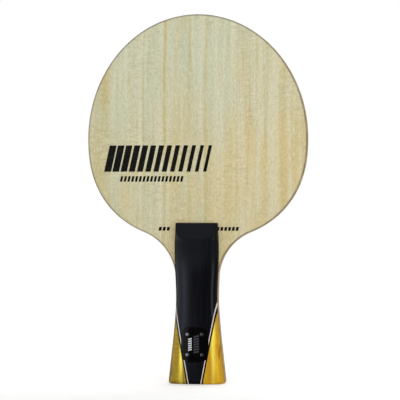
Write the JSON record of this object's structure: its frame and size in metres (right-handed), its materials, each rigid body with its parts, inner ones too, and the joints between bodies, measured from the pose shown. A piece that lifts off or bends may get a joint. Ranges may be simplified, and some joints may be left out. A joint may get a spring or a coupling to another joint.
{
  "type": "table tennis blade",
  "caption": "Bare table tennis blade with no rubber sheets: a thin keyhole-shaped plywood head with carbon layers, and a flared, laminated handle with a small badge.",
  "frame": {"origin": "middle of the handle's end, on the surface that the upright blade stands on", "axes": "+Z from the handle's end to the top of the head, -Y out of the front face, which has the badge, +X to the right seen from the front"},
  "size_m": [0.1512, 0.025, 0.2511],
  "materials": {
    "face_wood": "satin, thinly sealed",
    "carbon": "woven carbon in resin, sanded edge",
    "inner_wood": "sanded edge",
    "core_wood": "sanded edge",
    "black_wood": "dyed, satin lacquer",
    "pale_wood": "satin lacquer",
    "yellow_wood": "dyed, glossy lacquer",
    "badge_lacquer": "glossy",
    "pin_metal": "polished"
  },
  "bodies": {
    "root": {"front_face_veneer": "face_wood", "front_carbon_layer": "carbon", "front_inner_veneer": "inner_wood", "core_ply": "core_wood", "back_inner_veneer": "inner_wood", "back_carbon_layer": "carbon", "back_face_veneer": "face_wood", "front_grip_centre": "black_wood", "front_left_pale_stripe": "pale_wood", "front_left_black_stripe": "black_wood", "front_left_flare_wedge": "yellow_wood", "front_right_pale_stripe": "pale_wood", "front_right_black_stripe": "black_wood", "front_right_flare_wedge": "yellow_wood", "back_grip_centre": "black_wood", "back_left_pale_stripe": "pale_wood", "back_left_black_stripe": "black_wood", "back_left_flare_wedge": "yellow_wood", "back_right_pale_stripe": "pale_wood", "back_right_black_stripe": "black_wood", "back_right_flare_wedge": "yellow_wood", "badge": "badge_lacquer", "badge_pin_1": "pin_metal", "badge_pin_2": "pin_metal", "badge_pin_3": "pin_metal", "badge_pin_4": "pin_metal"}
  },
  "joints": []
}
